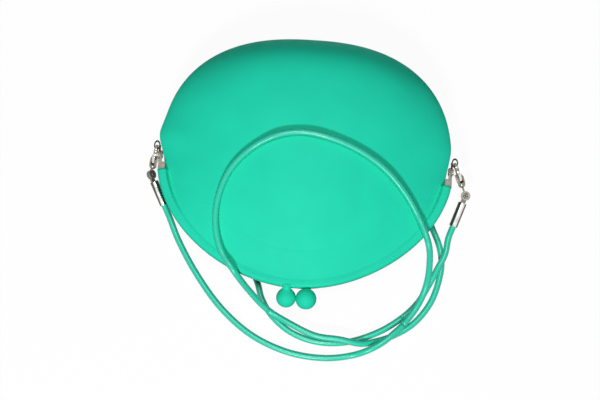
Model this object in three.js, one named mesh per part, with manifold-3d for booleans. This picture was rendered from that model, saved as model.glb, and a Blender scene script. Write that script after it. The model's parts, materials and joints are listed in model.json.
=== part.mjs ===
// A moulded silicone kiss-lock purse with a round cord strap, lying on its back wall.
// Millimetres, +Z up, mouth towards -Y. The hinge axis runs along X above the origin,
// which is the middle of the flat patch that the purse lies on.
import * as THREE from "three";
import { mergeVertices } from "three/addons/utils/BufferGeometryUtils.js";
import Module from "manifold-3d";

const wasm = await Module();
wasm.setup();

// Rim of the mouth, in front of the hinge axis, and the bag behind it
const RIM_HALF_WIDTH = 92.1;
const RIM_REACH = 78.1;
const RIM_SLIMNESS = 0.02;
const RIM_OVERHANG = 1.2;
const BAG_HALF_WIDTH = RIM_HALF_WIDTH - RIM_OVERHANG;
const BAG_FAR_REACH = 79.8;
const FAR_SQUARENESS = 2.44;
const OUTLINE_LEAN = 0.012;
const WAIST_FRONT = -6;
const WAIST_BACK = 16;
const MOUTH_HEIGHT = 24;
const TOP_CROWN = 27;
const REST_FLATTENING = 6;
const BOTTOM_CROWN = MOUTH_HEIGHT + REST_FLATTENING;
const MOUTH_POWER = 1.5;
const FAR_POWER = 6;
const MOUTH_FULLNESS = 0.8;
const FAR_FULLNESS = 0.6;
const WALL = 2;

// Rim sleeves, which hold the frames
const SLEEVE_WIDTH = 5.6;
const SLEEVE_HEIGHT = 4.8;
const SLEEVE_ROUNDING = 1.2;
const SLEEVE_OVERLAP = 1.2;
const SLEEVE_END = 10;
const MOUTH_GAP = 0.4;

// Parting of the front wall from the back half, about the hinge axis
const PARTING_MIDDLE_RADIUS = 40;
const PARTING_END_RADIUS = 9.2;
const PARTING_SHOULDER = 7.6;
const PARTING_GAP = 0.4;

// Frames and hinge rivets
const BAR_WIDTH = 2.8;
const BAR_HEIGHT = 2;
const BAR_ROUNDING = 0.4;
const BAR_CLEARANCE = 0.3;
const BAR_OVERRUN = 1;
const PLATE_THICKNESS = 1;
const PLATE_GAP = 0.3;
const PLATE_DISC_RADIUS = 2.7;
const ARM_LENGTH = 4.6;
const ARM_ROOM = 0.4;
const HINGE_CLEARANCE = 0.5;
const RIVET_RADIUS = 1.1;
const RIVET_HEAD_RADIUS = 2;
const RIVET_HEAD_THICKNESS = 0.6;
const RIVET_CLEARANCE = 0.15;

// Strap eyes on the back frame
const EYE_RADIUS = 2.5;
const EYE_SLIMNESS = 0.66;
const EYE_WIRE_RADIUS = 0.6;
const EYE_SET_BACK = 6;
const EYE_SEAT = 0.3;
const EYE_TAIL_HEIGHT = 2.8;

// Kiss-lock balls, placed along the rim from its middle
const FRONT_BALL_RADIUS = 5.85;
const BACK_BALL_RADIUS = 6.25;
const FRONT_BALL_ALONG = -6;
const BACK_BALL_ALONG = 6.2;
const FRONT_BALL_GAP = 0.4;
const BACK_BALL_GAP = 0.5;
const BALL_OFFSET = 2;
const BALL_STEM_RADIUS = 1.5;
const STEM_CLEARANCE = 0.3;

// Lobster hooks and their gates
const HOOK_RADIUS = 3.3;
const HOOK_OPENING = 2;
const HOOK_THICKNESS = 1.5;
const HOOK_GAP = 0.5;
const OPENING_END = 8;
const NOSE_END = 3.4;
const HOOK_SHOULDER = 1.5;
const HOOK_BODY_END = 13.5;
const HOOK_BODY_THICKNESS = 4;
const HOOK_TAIL_HALF_WIDTH = 2.2;
const BOSS_RADIUS = 2.3;
const BOSS_STEP = 0.7;
const LINK_RADIUS = 0.6;
const GATE_PIN_RADIUS = 0.5;
const GATE_PIN_U = 1;
const GATE_PIN_V = 10.2;
const GATE_ROOT_RADIUS = 1.5;
const GATE_WIDTH = 1.2;
const GATE_CLEARANCE = 0.3;
const GATE_NUB = 1.1;
const GATE_NUB_HALF_LENGTH = 0.8;
const SPRING_THICKNESS = 0.25;
const SPRING_END_GAP = 0.6;
const SLOT_SPARE = 0.7;

// Swivels and ferrules
const TAB_THICKNESS = 1.3;
const TAB_RADIUS = 3;
const TAB_GAP = 0.3;
const SWIVEL_RADIUS = 0.9;
const SWIVEL_HEAD_RADIUS = 1.5;
const FERRULE_EYE_RADIUS = 2.8;
const FERRULE_RADIUS = 2.65;
const FERRULE_START = 4.8;
const FERRULE_END = 20.6;
const FERRULE_NECK_WIDTH = 3.2;
const CORD_DIAMETER = 4;
const CORD_CLEARANCE = 0.15;
const CORD_INSERTION = 6;
const CORD_LEAD = 8;
const CORD_FACE_GAP = 0.3;

// How each strap end hangs: from its eye to its swivel, and on from the swivel along its ferrule
const LEFT_HANG = new THREE.Vector3(-3.65, -16.7, -12.5);
const LEFT_CORDWAY = new THREE.Vector3(10.4, -20.2, -6.5).normalize();
const LEFT_SWIVEL_TILT = THREE.MathUtils.degToRad(50);
const RIGHT_HANG = new THREE.Vector3(8.65, -18.4, -10.5);
const RIGHT_CORDWAY = new THREE.Vector3(-6.4, -18.8, -3.7).normalize();
const RIGHT_SWIVEL_TILT = 0;

// Fineness of the round shapes
const BAG_SIDES = 56;
const BAG_RINGS = [0.3, 0.5, 0.65, 0.78, 0.87, 0.94, 0.98];
const HINGE_CROWDING = 0.35;
const RIM_STEPS = 36;
const ROUND_SIDES = 20;
const BALL_SIDES = 26;
const PIN_SIDES = 12;
const PARTING_STEPS = 24;
const PARTING_SIDES = 48;
const CORD_SIDES = 10;
const LEFT_STEPS = 15;
const LOOP_STEPS = 25;
const UNDER_STEPS = 38;
const RIGHT_STEPS = 7;

// How far a piece runs into the one it is joined to, and a cut runs past the face it opens
const OVERLAP = 0.5;
const OVERRUN = 0.1;

const SILICONE = new THREE.MeshStandardMaterial({ color: 0x24d6ae, roughness: 0.55, metalness: 0 });
const CORD = new THREE.MeshStandardMaterial({ color: 0x2cc4a4, roughness: 0.45, metalness: 0 });
const STEEL = new THREE.MeshStandardMaterial({ color: 0x8a877a, roughness: 0.25, metalness: 1 });

// Solids and meshes
function solidOf(geometry) {
  const bare = geometry.clone();
  bare.deleteAttribute("normal");
  bare.deleteAttribute("uv");
  const merged = mergeVertices(bare, 1e-4);
  return new wasm.Manifold(
    new wasm.Mesh({
      numProp: 3,
      vertProperties: new Float32Array(merged.attributes.position.array),
      triVerts: new Uint32Array(merged.index.array),
    }),
  );
}

function geometryOf(solid) {
  const mesh = solid.getMesh();
  const geometry = new THREE.BufferGeometry();
  geometry.setAttribute("position", new THREE.BufferAttribute(mesh.vertProperties, 3));
  geometry.setIndex(new THREE.BufferAttribute(mesh.triVerts, 1));
  geometry.computeVertexNormals();
  return geometry;
}

function join(...geometries) {
  return geometries.map(solidOf).reduce((sum, next) => sum.add(next));
}

function cut(solid, ...geometries) {
  return geometries.map(solidOf).reduce((rest, tool) => rest.subtract(tool), solid);
}

function meshOf(name, solid, material) {
  const mesh = new THREE.Mesh(geometryOf(solid), material);
  mesh.name = name;
  return mesh;
}

function box(x0, x1, y0, y1, z0, z1) {
  const geometry = new THREE.BoxGeometry(x1 - x0, y1 - y0, z1 - z0);
  return geometry.translate((x0 + x1) / 2, (y0 + y1) / 2, (z0 + z1) / 2);
}

function rod(from, to, radius, sides = ROUND_SIDES) {
  const along = to.clone().sub(from);
  const geometry = new THREE.CylinderGeometry(radius, radius, along.length(), sides);
  const turn = new THREE.Quaternion().setFromUnitVectors(
    new THREE.Vector3(0, 1, 0),
    along.clone().normalize(),
  );
  const middle = from.clone().add(to).multiplyScalar(0.5);
  return geometry.applyQuaternion(turn).translate(middle.x, middle.y, middle.z);
}

// A closed skin over rings of equally many points, with a fan to a point at each end.
function loft(rings, first, last) {
  const sides = rings[0].length;
  const points = [...rings.flat(), first, last];
  const index = [];
  for (let i = 0; i + 1 < rings.length; i++) {
    for (let j = 0; j < sides; j++) {
      const a = i * sides + j;
      const b = i * sides + ((j + 1) % sides);
      index.push(a, b, a + sides, b, b + sides, a + sides);
    }
  }
  const start = points.length - 2;
  const end = points.length - 1;
  const lastRing = (rings.length - 1) * sides;
  for (let j = 0; j < sides; j++) {
    const k = (j + 1) % sides;
    index.push(start, k, j);
    index.push(end, lastRing + j, lastRing + k);
  }
  const geometry = new THREE.BufferGeometry().setFromPoints(points);
  const inward = volume(points, index) < 0;
  geometry.setIndex(inward ? index.reverse() : index);
  return geometry;
}

function volume(points, index) {
  let six = 0;
  for (let i = 0; i < index.length; i += 3) {
    const [a, b, c] = [points[index[i]], points[index[i + 1]], points[index[i + 2]]];
    six += a.dot(b.clone().cross(c));
  }
  return six / 6;
}

// Outlines as distances from the origin at an angle from +X
function rimRadius(angle, inset) {
  const slimming = 1 - RIM_SLIMNESS * Math.sin(2 * angle) ** 2;
  const c = Math.cos(angle) / (RIM_HALF_WIDTH - inset);
  const s = Math.sin(angle) / (RIM_REACH - inset);
  return slimming / Math.hypot(c, s);
}

// In front the bag meets the inner edge of the sleeves. Behind the hinges it swells to its full width.
function bagRadius(angle) {
  const c = Math.abs(Math.cos(angle) / BAG_HALF_WIDTH);
  const s = Math.abs(Math.sin(angle) / BAG_FAR_REACH);
  const far = (c ** FAR_SQUARENESS + s ** FAR_SQUARENESS) ** (-1 / FAR_SQUARENESS);
  const front = rimRadius(angle, SLEEVE_WIDTH - SLEEVE_OVERLAP);
  const behind = BAG_HALF_WIDTH * Math.sin(angle);
  return THREE.MathUtils.lerp(front, far, THREE.MathUtils.smoothstep(behind, WAIST_FRONT, WAIST_BACK));
}

// A point of an outline: in front of the hinges, the outline leans a little to the left.
function outlinePoint(radius, angle) {
  const y = radius * Math.sin(angle);
  return new THREE.Vector3(radius * Math.cos(angle) + OUTLINE_LEAN * Math.min(y, 0), y, 0);
}

function rimPoint(angle) {
  return outlinePoint(rimRadius(angle, 0), angle);
}

// How much of its full height a wall has at a share of its reach: domed towards the mouth, boxy behind.
function crown(share, angle) {
  const far = Math.max(0, Math.sin(angle)) ** 2;
  const power = THREE.MathUtils.lerp(MOUTH_POWER, FAR_POWER, far);
  const fullness = THREE.MathUtils.lerp(MOUTH_FULLNESS, FAR_FULLNESS, far);
  return Math.max(0, 1 - share ** power) ** fullness;
}

// One ring of the bag, with its points closer together at the hinges
function bagRing(share, height, inset, lowest) {
  return Array.from({ length: BAG_SIDES }, (_, i) => {
    const turn = (i / BAG_SIDES) * 2 * Math.PI;
    const angle = turn - (HINGE_CROWDING / 2) * Math.sin(2 * turn);
    const z = MOUTH_HEIGHT + height * crown(share, angle);
    return outlinePoint((bagRadius(angle) - inset) * share, angle).setZ(Math.max(z, lowest));
  });
}

function bagBody(inset) {
  const top = TOP_CROWN - inset;
  const bottom = BOTTOM_CROWN - inset;
  const rings = [
    ...BAG_RINGS.map((share) => bagRing(share, top, inset, inset)),
    bagRing(1, 0, inset, inset),
    ...BAG_RINGS.toReversed().map((share) => bagRing(share, -bottom, inset, inset)),
  ];
  const highest = new THREE.Vector3(0, 0, MOUTH_HEIGHT + top);
  const lowest = new THREE.Vector3(0, 0, inset);
  return loft(rings, highest, lowest);
}

// A band along the front half of the rim: the section holds pairs of outward offset and height.
function rimBand(section, end) {
  const skip = Math.asin(end / RIM_HALF_WIDTH);
  const nudge = 0.001;
  const rings = Array.from({ length: RIM_STEPS + 1 }, (_, i) => {
    const angle = Math.PI + skip + (i / RIM_STEPS) * (Math.PI - 2 * skip);
    const along = rimPoint(angle + nudge).sub(rimPoint(angle - nudge));
    const normal = new THREE.Vector3(along.y, -along.x, 0).normalize();
    return section.map(([offset, z]) => rimPoint(angle).addScaledVector(normal, offset).setZ(z));
  });
  const middle = (ring) =>
    ring.reduce((sum, p) => sum.add(p), new THREE.Vector3()).divideScalar(ring.length);
  return loft(rings, middle(rings[0]), middle(rings.at(-1)));
}

function bandSection(outer, inner, low, high, radius) {
  const corners = [
    [outer - radius, low + radius, -90],
    [outer - radius, high - radius, 0],
    [inner + radius, high - radius, 90],
    [inner + radius, low + radius, 180],
  ];
  const turns = radius > 1 ? [0, 45, 90] : radius > 0 ? [0, 90] : [45];
  return corners.flatMap(([x, z, from]) =>
    turns.map((turn) => {
      const angle = THREE.MathUtils.degToRad(from + turn);
      return [x + radius * Math.cos(angle), z + radius * Math.sin(angle)];
    }),
  );
}

// The space of the front wall: over the mouth plane, outside a spindle that is round about the hinge axis.
// The front wall turns about that axis, so it keeps its distance from the spindle at every angle.
function frontSpace(gap) {
  const reach = 2 * (RIM_REACH + TOP_CROWN);
  const floor = MOUTH_HEIGHT + MOUTH_GAP / 2 - (gap > 0 ? MOUTH_GAP : 0);
  const endRadius = PARTING_END_RADIUS - gap;
  const profile = [new THREE.Vector2(0, -reach), new THREE.Vector2(endRadius, -reach)];
  const halfLength = RIM_HALF_WIDTH - PARTING_SHOULDER;
  for (let i = 0; i <= PARTING_STEPS; i++) {
    const turn = (i / PARTING_STEPS) * Math.PI;
    const swell = (PARTING_MIDDLE_RADIUS - PARTING_END_RADIUS) * Math.sin(turn);
    profile.push(new THREE.Vector2(endRadius + swell, -halfLength * Math.cos(turn)));
  }
  profile.push(new THREE.Vector2(endRadius, reach), new THREE.Vector2(0, reach));
  const spindle = new THREE.LatheGeometry(profile, PARTING_SIDES).rotateZ(-Math.PI / 2);
  const front = box(-reach, reach, -reach, 0, floor, floor + reach);
  return solidOf(front).subtract(solidOf(spindle.translate(0, 0, MOUTH_HEIGHT)));
}

// Heights of a jaw's sleeve, channel and bar: side is 1 for the front jaw, -1 for the back jaw.
function jawHeights(side) {
  const near = MOUTH_HEIGHT + (side * MOUTH_GAP) / 2;
  const far = near + side * SLEEVE_HEIGHT;
  const bar = (near + far) / 2;
  const span = (a, b) => [Math.min(a, b), Math.max(a, b)];
  return {
    sleeve: span(near, far),
    channel: [bar - BAR_HEIGHT / 2 - BAR_CLEARANCE, bar + BAR_HEIGHT / 2 + BAR_CLEARANCE],
    bar: [bar - BAR_HEIGHT / 2, bar + BAR_HEIGHT / 2],
  };
}

function sleeve(side) {
  const [low, high] = jawHeights(side).sleeve;
  return rimBand(bandSection(0, -SLEEVE_WIDTH, low, high, SLEEVE_ROUNDING), SLEEVE_END);
}

const BAR_OUTER = -(SLEEVE_WIDTH - BAR_WIDTH) / 2;
const BAR_INNER = BAR_OUTER - BAR_WIDTH;
const BAR_END = SLEEVE_END - BAR_OVERRUN;

function channel(side) {
  const [low, high] = jawHeights(side).channel;
  const section = bandSection(BAR_OUTER + BAR_CLEARANCE, BAR_INNER - BAR_CLEARANCE, low, high, 0);
  return rimBand(section, BAR_END - BAR_OVERRUN);
}

// Kiss-lock balls on stems that start at the frame bars
function ballPlaces(side) {
  const radius = side > 0 ? FRONT_BALL_RADIUS : BACK_BALL_RADIUS;
  const gap = side > 0 ? FRONT_BALL_GAP : BACK_BALL_GAP;
  const along = side > 0 ? FRONT_BALL_ALONG : BACK_BALL_ALONG;
  const rim = rimPoint(1.5 * Math.PI + Math.asin(along / RIM_REACH));
  const [low, high] = jawHeights(side).bar;
  const footZ = (low + high) / 2;
  const middle = new THREE.Vector3(rim.x, rim.y - gap - radius, MOUTH_HEIGHT - side * BALL_OFFSET);
  const rise = Math.abs(footZ - middle.z);
  const footEdge = (BALL_STEM_RADIUS * rise) / Math.hypot(rise, gap + radius);
  const footY = rim.y - BAR_OUTER - STEM_CLEARANCE - footEdge;
  return { radius, middle, foot: new THREE.Vector3(rim.x, footY, footZ) };
}

function ball(name, side) {
  const { radius, foot, middle } = ballPlaces(side);
  const sphere = new THREE.SphereGeometry(radius, BALL_SIDES, BALL_SIDES / 2);
  const stem = rod(foot, middle, BALL_STEM_RADIUS);
  return meshOf(name, join(sphere.translate(middle.x, middle.y, middle.z), stem), SILICONE);
}

function stemHole(side) {
  const { foot, middle } = ballPlaces(side);
  return rod(foot, middle, BALL_STEM_RADIUS + STEM_CLEARANCE);
}

// Room for the frame arms at the two sides of the bag
const ARM_INNER = rimPoint(-Math.asin(SLEEVE_END / RIM_HALF_WIDTH)).x + BAR_INNER;
const ARM_FRONT = SLEEVE_END - ARM_ROOM;
const ARM_BACK = ARM_FRONT - ARM_LENGTH;

function armRoom(side) {
  const x = [ARM_INNER - ARM_ROOM, RIM_HALF_WIDTH + SLEEVE_WIDTH];
  const [x0, x1] = side > 0 ? x : [-x[1], -x[0]];
  const y0 = -SLEEVE_END - ARM_ROOM;
  const y1 = -ARM_BACK + 2 * ARM_ROOM;
  return box(x0, x1, y0, y1, MOUTH_HEIGHT - SLEEVE_HEIGHT, MOUTH_HEIGHT + 2 * SLEEVE_HEIGHT);
}

function backShell() {
  const shell = cut(solidOf(bagBody(0)), bagBody(WALL), armRoom(1), armRoom(-1));
  const whole = shell.subtract(frontSpace(PARTING_GAP)).add(solidOf(sleeve(-1)));
  return meshOf("back_shell", cut(whole, channel(-1), stemHole(-1)), SILICONE);
}

function frontWall() {
  const shell = cut(solidOf(bagBody(0)), bagBody(WALL), armRoom(1), armRoom(-1));
  const whole = shell.intersect(frontSpace(0)).add(solidOf(sleeve(1)));
  return meshOf("front_wall", cut(whole, channel(1), stemHole(1)), SILICONE);
}

// Frames: a bar along the rim, an arm and a hinge plate at each end. The back frame carries the strap eyes.
const INNER_PLATE = bagRadius(Math.asin(PLATE_DISC_RADIUS / BAG_HALF_WIDTH)) + HINGE_CLEARANCE;
const OUTER_PLATE = INNER_PLATE + PLATE_THICKNESS + PLATE_GAP;
const PLATES_END = OUTER_PLATE + PLATE_THICKNESS;
const EYE_X = PLATES_END - EYE_SEAT + EYE_RADIUS * EYE_SLIMNESS;

function mirroredX(geometry, side) {
  if (side > 0) return geometry;
  const flipped = geometry.index ? geometry.toNonIndexed() : geometry;
  const position = flipped.attributes.position;
  for (let i = 0; i < position.count; i += 3) {
    const corners = [0, 2, 1].map((k) => new THREE.Vector3().fromBufferAttribute(position, i + k));
    corners.forEach((p, k) => position.setXYZ(i + k, -p.x, p.y, p.z));
  }
  return flipped;
}

function hingePlate(jaw) {
  const plate = jaw > 0 ? INNER_PLATE : OUTER_PLATE;
  const [low, high] = jawHeights(jaw).bar;
  const nearLow = jaw > 0 ? MOUTH_HEIGHT + ARM_ROOM : low;
  const nearHigh = jaw > 0 ? high : MOUTH_HEIGHT - ARM_ROOM;
  const hub = (x) => new THREE.Vector3(x, 0, MOUTH_HEIGHT);
  return [
    box(ARM_INNER, plate + PLATE_THICKNESS, -ARM_FRONT, -ARM_BACK, low, high),
    box(plate, plate + PLATE_THICKNESS, -ARM_FRONT, 0, nearLow, nearHigh),
    rod(hub(plate), hub(plate + PLATE_THICKNESS), PLATE_DISC_RADIUS),
  ];
}

function strapEye() {
  const half = EYE_TAIL_HEIGHT / 2;
  const tail = box(OUTER_PLATE, PLATES_END, 0, EYE_SET_BACK, MOUTH_HEIGHT - half, MOUTH_HEIGHT + half);
  const ring = new THREE.TorusGeometry(EYE_RADIUS, EYE_WIRE_RADIUS, PIN_SIDES, ROUND_SIDES);
  ring.scale(EYE_SLIMNESS, 1, 1);
  return [tail, ring.translate(EYE_X, EYE_SET_BACK, MOUTH_HEIGHT)];
}

function frame(name, jaw) {
  const [low, high] = jawHeights(jaw).bar;
  const bar = rimBand(bandSection(BAR_OUTER, BAR_INNER, low, high, BAR_ROUNDING), BAR_END);
  const ends = [1, -1].flatMap((side) =>
    [...hingePlate(jaw), ...(jaw > 0 ? [] : strapEye())].map((piece) => mirroredX(piece, side)),
  );
  const across = new THREE.Vector3(2 * RIM_HALF_WIDTH, 0, MOUTH_HEIGHT);
  const hole = rod(across.clone().setX(-across.x), across, RIVET_RADIUS + RIVET_CLEARANCE);
  return meshOf(name, cut(join(bar, ...ends), hole), STEEL);
}

function hingeRivet(name, side) {
  const at = (x) => new THREE.Vector3(side * x, 0, MOUTH_HEIGHT);
  const inner = INNER_PLATE - RIVET_CLEARANCE;
  const outer = PLATES_END + RIVET_CLEARANCE;
  const pin = rod(at(inner), at(outer), RIVET_RADIUS);
  const innerHead = rod(at(inner - RIVET_HEAD_THICKNESS / 2), at(inner), RIVET_HEAD_RADIUS);
  const outerHead = rod(at(outer), at(outer + RIVET_HEAD_THICKNESS), RIVET_HEAD_RADIUS);
  return meshOf(name, join(pin, innerHead, outerHead), STEEL);
}

// A flat piece in the hook's plane: u across, v from the hook's tip bar to its tail, w through it.
function slab(shape, thickness) {
  const geometry = new THREE.ExtrudeGeometry(shape, {
    depth: thickness,
    bevelEnabled: false,
    curveSegments: PIN_SIDES,
  });
  return geometry.translate(0, 0, -thickness / 2);
}

function outline(points) {
  return new THREE.Shape(points.map(([u, v]) => new THREE.Vector2(u, v)));
}

const HOOK_BAR = HOOK_RADIUS - HOOK_OPENING;
const HOOK_CENTRE = HOOK_RADIUS - HOOK_BAR / 2;
const SLOT_U = GATE_PIN_U - GATE_ROOT_RADIUS - GATE_CLEARANCE - SPRING_THICKNESS - GATE_CLEARANCE;
const SLOT_END = GATE_PIN_V + GATE_ROOT_RADIUS + SLOT_SPARE;
const SLOT_THICKNESS = HOOK_THICKNESS + 2 * GATE_CLEARANCE;
const GATE_OUTER = HOOK_RADIUS - OVERRUN;

function hookSolid(tailLength, axis) {
  const blank = new THREE.Shape();
  blank.absarc(0, HOOK_CENTRE, HOOK_RADIUS, Math.PI, 2 * Math.PI, false);
  blank.lineTo(HOOK_RADIUS, OPENING_END + OVERLAP);
  blank.lineTo(-HOOK_RADIUS, OPENING_END + OVERLAP);
  const opening = new THREE.Path();
  opening.absarc(0, HOOK_CENTRE, HOOK_OPENING, Math.PI, 2 * Math.PI, false);
  opening.lineTo(HOOK_OPENING, OPENING_END);
  opening.lineTo(-HOOK_OPENING, OPENING_END);
  blank.holes.push(opening);
  const body = outline([
    [-HOOK_RADIUS, OPENING_END],
    [HOOK_RADIUS, OPENING_END],
    [HOOK_RADIUS, OPENING_END + HOOK_SHOULDER],
    [HOOK_TAIL_HALF_WIDTH, HOOK_BODY_END],
    [-HOOK_TAIL_HALF_WIDTH, HOOK_BODY_END],
    [-HOOK_RADIUS, OPENING_END + HOOK_SHOULDER],
  ]);
  const bossAt = new THREE.Vector3(0, HOOK_BODY_END + BOSS_STEP, 0);
  const boss = new THREE.SphereGeometry(BOSS_RADIUS, ROUND_SIDES, PIN_SIDES).translate(0, bossAt.y, 0);
  const tab = new THREE.Vector3(0, tailLength, 0).addScaledVector(axis, TAB_GAP + TAB_THICKNESS / 2);
  const low = tab.clone().addScaledVector(axis, -TAB_THICKNESS / 2);
  const high = tab.clone().addScaledVector(axis, TAB_THICKNESS / 2);
  const tabEdge = squareTo(bossAt.clone().sub(tab), axis).multiplyScalar(TAB_RADIUS - LINK_RADIUS).add(tab);
  const link = rod(bossAt, tabEdge, LINK_RADIUS, PIN_SIDES);
  const whole = join(
    slab(blank, HOOK_THICKNESS),
    slab(body, HOOK_BODY_THICKNESS),
    boss,
    rod(low, high, TAB_RADIUS),
    link,
  );
  const half = SLOT_THICKNESS / 2;
  const pinEnd = new THREE.Vector3(GATE_PIN_U, GATE_PIN_V, HOOK_BODY_THICKNESS);
  const swivel = new THREE.Vector3(0, tailLength, 0);
  return cut(
    whole,
    box(SLOT_U, 2 * HOOK_RADIUS, OPENING_END - OVERRUN, SLOT_END, -half, half),
    box(HOOK_OPENING - OVERRUN, 2 * HOOK_RADIUS, NOSE_END, OPENING_END, -HOOK_THICKNESS, HOOK_THICKNESS),
    rod(pinEnd.clone().setZ(-pinEnd.z), pinEnd, GATE_PIN_RADIUS + RIVET_CLEARANCE, PIN_SIDES),
    rod(
      swivel.clone().addScaledVector(axis, -3 * TAB_THICKNESS),
      swivel.clone().addScaledVector(axis, 3 * TAB_THICKNESS),
      SWIVEL_RADIUS + RIVET_CLEARANCE,
    ),
  );
}

function gateSolid() {
  const root = new THREE.Shape();
  root.absarc(GATE_PIN_U, GATE_PIN_V, GATE_ROOT_RADIUS, 0, 2 * Math.PI, false);
  const inner = GATE_OUTER - GATE_WIDTH;
  const tip = NOSE_END + GATE_CLEARANCE;
  const rootEdge = 0.6 * GATE_ROOT_RADIUS;
  const lever = outline([
    [inner, tip],
    [GATE_OUTER, tip],
    [GATE_OUTER, OPENING_END + rootEdge],
    [GATE_PIN_U + rootEdge, GATE_PIN_V + rootEdge],
    [GATE_PIN_U - rootEdge, GATE_PIN_V - rootEdge],
    [inner, OPENING_END - rootEdge],
  ]);
  const nubAt = (tip + OPENING_END) / 2;
  const nub = outline([
    [GATE_OUTER - OVERLAP, nubAt - GATE_NUB_HALF_LENGTH],
    [GATE_OUTER + GATE_NUB, nubAt - GATE_NUB_HALF_LENGTH / 2],
    [GATE_OUTER + GATE_NUB, nubAt + GATE_NUB_HALF_LENGTH / 2],
    [GATE_OUTER - OVERLAP, nubAt + GATE_NUB_HALF_LENGTH],
  ]);
  const whole = join(slab(root, HOOK_THICKNESS), slab(lever, HOOK_THICKNESS), slab(nub, HOOK_THICKNESS));
  const end = new THREE.Vector3(GATE_PIN_U, GATE_PIN_V, HOOK_THICKNESS);
  return cut(whole, rod(end.clone().setZ(-end.z), end, GATE_PIN_RADIUS + RIVET_CLEARANCE, PIN_SIDES));
}

function gatePinSolid() {
  const half = HOOK_BODY_THICKNESS / 2;
  const at = (w) => new THREE.Vector3(GATE_PIN_U, GATE_PIN_V, w);
  return solidOf(rod(at(-half), at(half), GATE_PIN_RADIUS, PIN_SIDES));
}

function gateSpringSolid() {
  const left = SLOT_U + GATE_CLEARANCE;
  const half = HOOK_THICKNESS / 2;
  const from = OPENING_END + SPRING_END_GAP;
  return solidOf(box(left, left + SPRING_THICKNESS, from, SLOT_END - SPRING_END_GAP, -half, half));
}

function swivelRivetSolid(at, axis) {
  const along = (d) => at.clone().addScaledVector(axis, d);
  const bottom = -TAB_THICKNESS - RIVET_CLEARANCE;
  const top = TAB_GAP + TAB_THICKNESS + RIVET_CLEARANCE;
  return join(
    rod(along(bottom), along(top), SWIVEL_RADIUS),
    rod(along(bottom - RIVET_HEAD_THICKNESS), along(bottom), SWIVEL_HEAD_RADIUS),
    rod(along(top), along(top + RIVET_HEAD_THICKNESS), SWIVEL_HEAD_RADIUS),
  );
}

// The ferrule lies along its own +Y from the swivel, whose axis is its +Z.
function ferruleSolid() {
  const along = (y) => new THREE.Vector3(0, y, 0);
  const eye = rod(new THREE.Vector3(0, 0, -TAB_THICKNESS), new THREE.Vector3(), FERRULE_EYE_RADIUS);
  const half = FERRULE_NECK_WIDTH / 2;
  const neck = box(-half, half, 0, FERRULE_START + OVERLAP, -TAB_THICKNESS, 0);
  const tube = rod(along(FERRULE_START), along(FERRULE_END), FERRULE_RADIUS);
  const bore = rod(
    along(FERRULE_END - CORD_INSERTION - CORD_CLEARANCE),
    along(FERRULE_END + OVERRUN),
    CORD_DIAMETER / 2 + CORD_CLEARANCE,
  );
  const hole = rod(
    new THREE.Vector3(0, 0, -2 * TAB_THICKNESS),
    new THREE.Vector3(0, 0, TAB_THICKNESS),
    SWIVEL_RADIUS + RIVET_CLEARANCE,
  );
  return cut(join(eye, neck, tube), bore, hole);
}

// A turn to the axes across, along and their cross product
function turnTo(across, along) {
  const turn = new THREE.Matrix4().makeBasis(across, along, across.clone().cross(along));
  return new THREE.Quaternion().setFromRotationMatrix(turn);
}

function placed(at, turn, ...meshes) {
  const group = new THREE.Group();
  group.quaternion.copy(turn);
  group.position.copy(at);
  group.add(...meshes);
  return group;
}

const UP = new THREE.Vector3(0, 0, 1);

function squareTo(direction, to) {
  return direction.clone().addScaledVector(to, -direction.dot(to)).normalize();
}

function eyeMiddle(side) {
  return new THREE.Vector3(side * EYE_X, EYE_SET_BACK, MOUTH_HEIGHT);
}

const LEFT_SWIVEL = eyeMiddle(-1).add(LEFT_HANG);
const RIGHT_SWIVEL = eyeMiddle(1).add(RIGHT_HANG);

// What a strap end's places follow from: its swivel, its ferrule's way and the tilt of the swivel's axis
function strapEndFrame(side, swivel, cordway, tilt) {
  const eye = eyeMiddle(side);
  const pull = swivel.clone().sub(eye).setZ(0).normalize();
  const eyeFront = eye.clone().addScaledVector(pull, EYE_RADIUS);
  eyeFront.x = THREE.MathUtils.lerp(eye.x, eyeFront.x, EYE_SLIMNESS);
  const down = swivel.clone().sub(eyeFront).normalize();
  const tip = eyeFront.clone().addScaledVector(down, -EYE_WIRE_RADIUS - HOOK_GAP - HOOK_BAR / 2);
  const axis = squareTo(UP, cordway).applyAxisAngle(cordway, side * tilt);
  return { down, tip, axis };
}

function strapEnd(label, side, swivel, cordway, tilt) {
  const { down, tip, axis } = strapEndFrame(side, swivel, cordway, tilt);
  const hookTurn = turnTo(squareTo(UP, down), down);
  const inHook = axis.clone().applyQuaternion(hookTurn.clone().invert());
  const clasp = placed(
    tip,
    hookTurn,
    meshOf(`${label}_hook`, hookSolid(tip.distanceTo(swivel), inHook), STEEL),
    meshOf(`${label}_gate`, gateSolid(), STEEL),
    meshOf(`${label}_gate_pin`, gatePinSolid(), STEEL),
    meshOf(`${label}_gate_spring`, gateSpringSolid(), STEEL),
  );
  const ferrule = placed(
    swivel,
    turnTo(cordway.clone().cross(axis), cordway),
    meshOf(`${label}_ferrule`, ferruleSolid(), STEEL),
  );
  const rivet = meshOf(`${label}_swivel_rivet`, swivelRivetSolid(swivel, axis), STEEL);
  return [clasp, ferrule, rivet];
}

// The strap cord, one length from ferrule to ferrule, in four stretches laid end to end
function ferruleStretch(swivel, cordway, distances) {
  return distances.map((d) => swivel.clone().addScaledVector(cordway, d));
}

// The strap's places are laid around a bag of this half width, reach and far reach, with its mouth this
// high and its crown this tall. They spread and rise with a bag of another size.
const LAID = { halfWidth: 92.1, reach: 78.1, farReach: 79.8, mouth: 24, crown: 27 };

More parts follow.
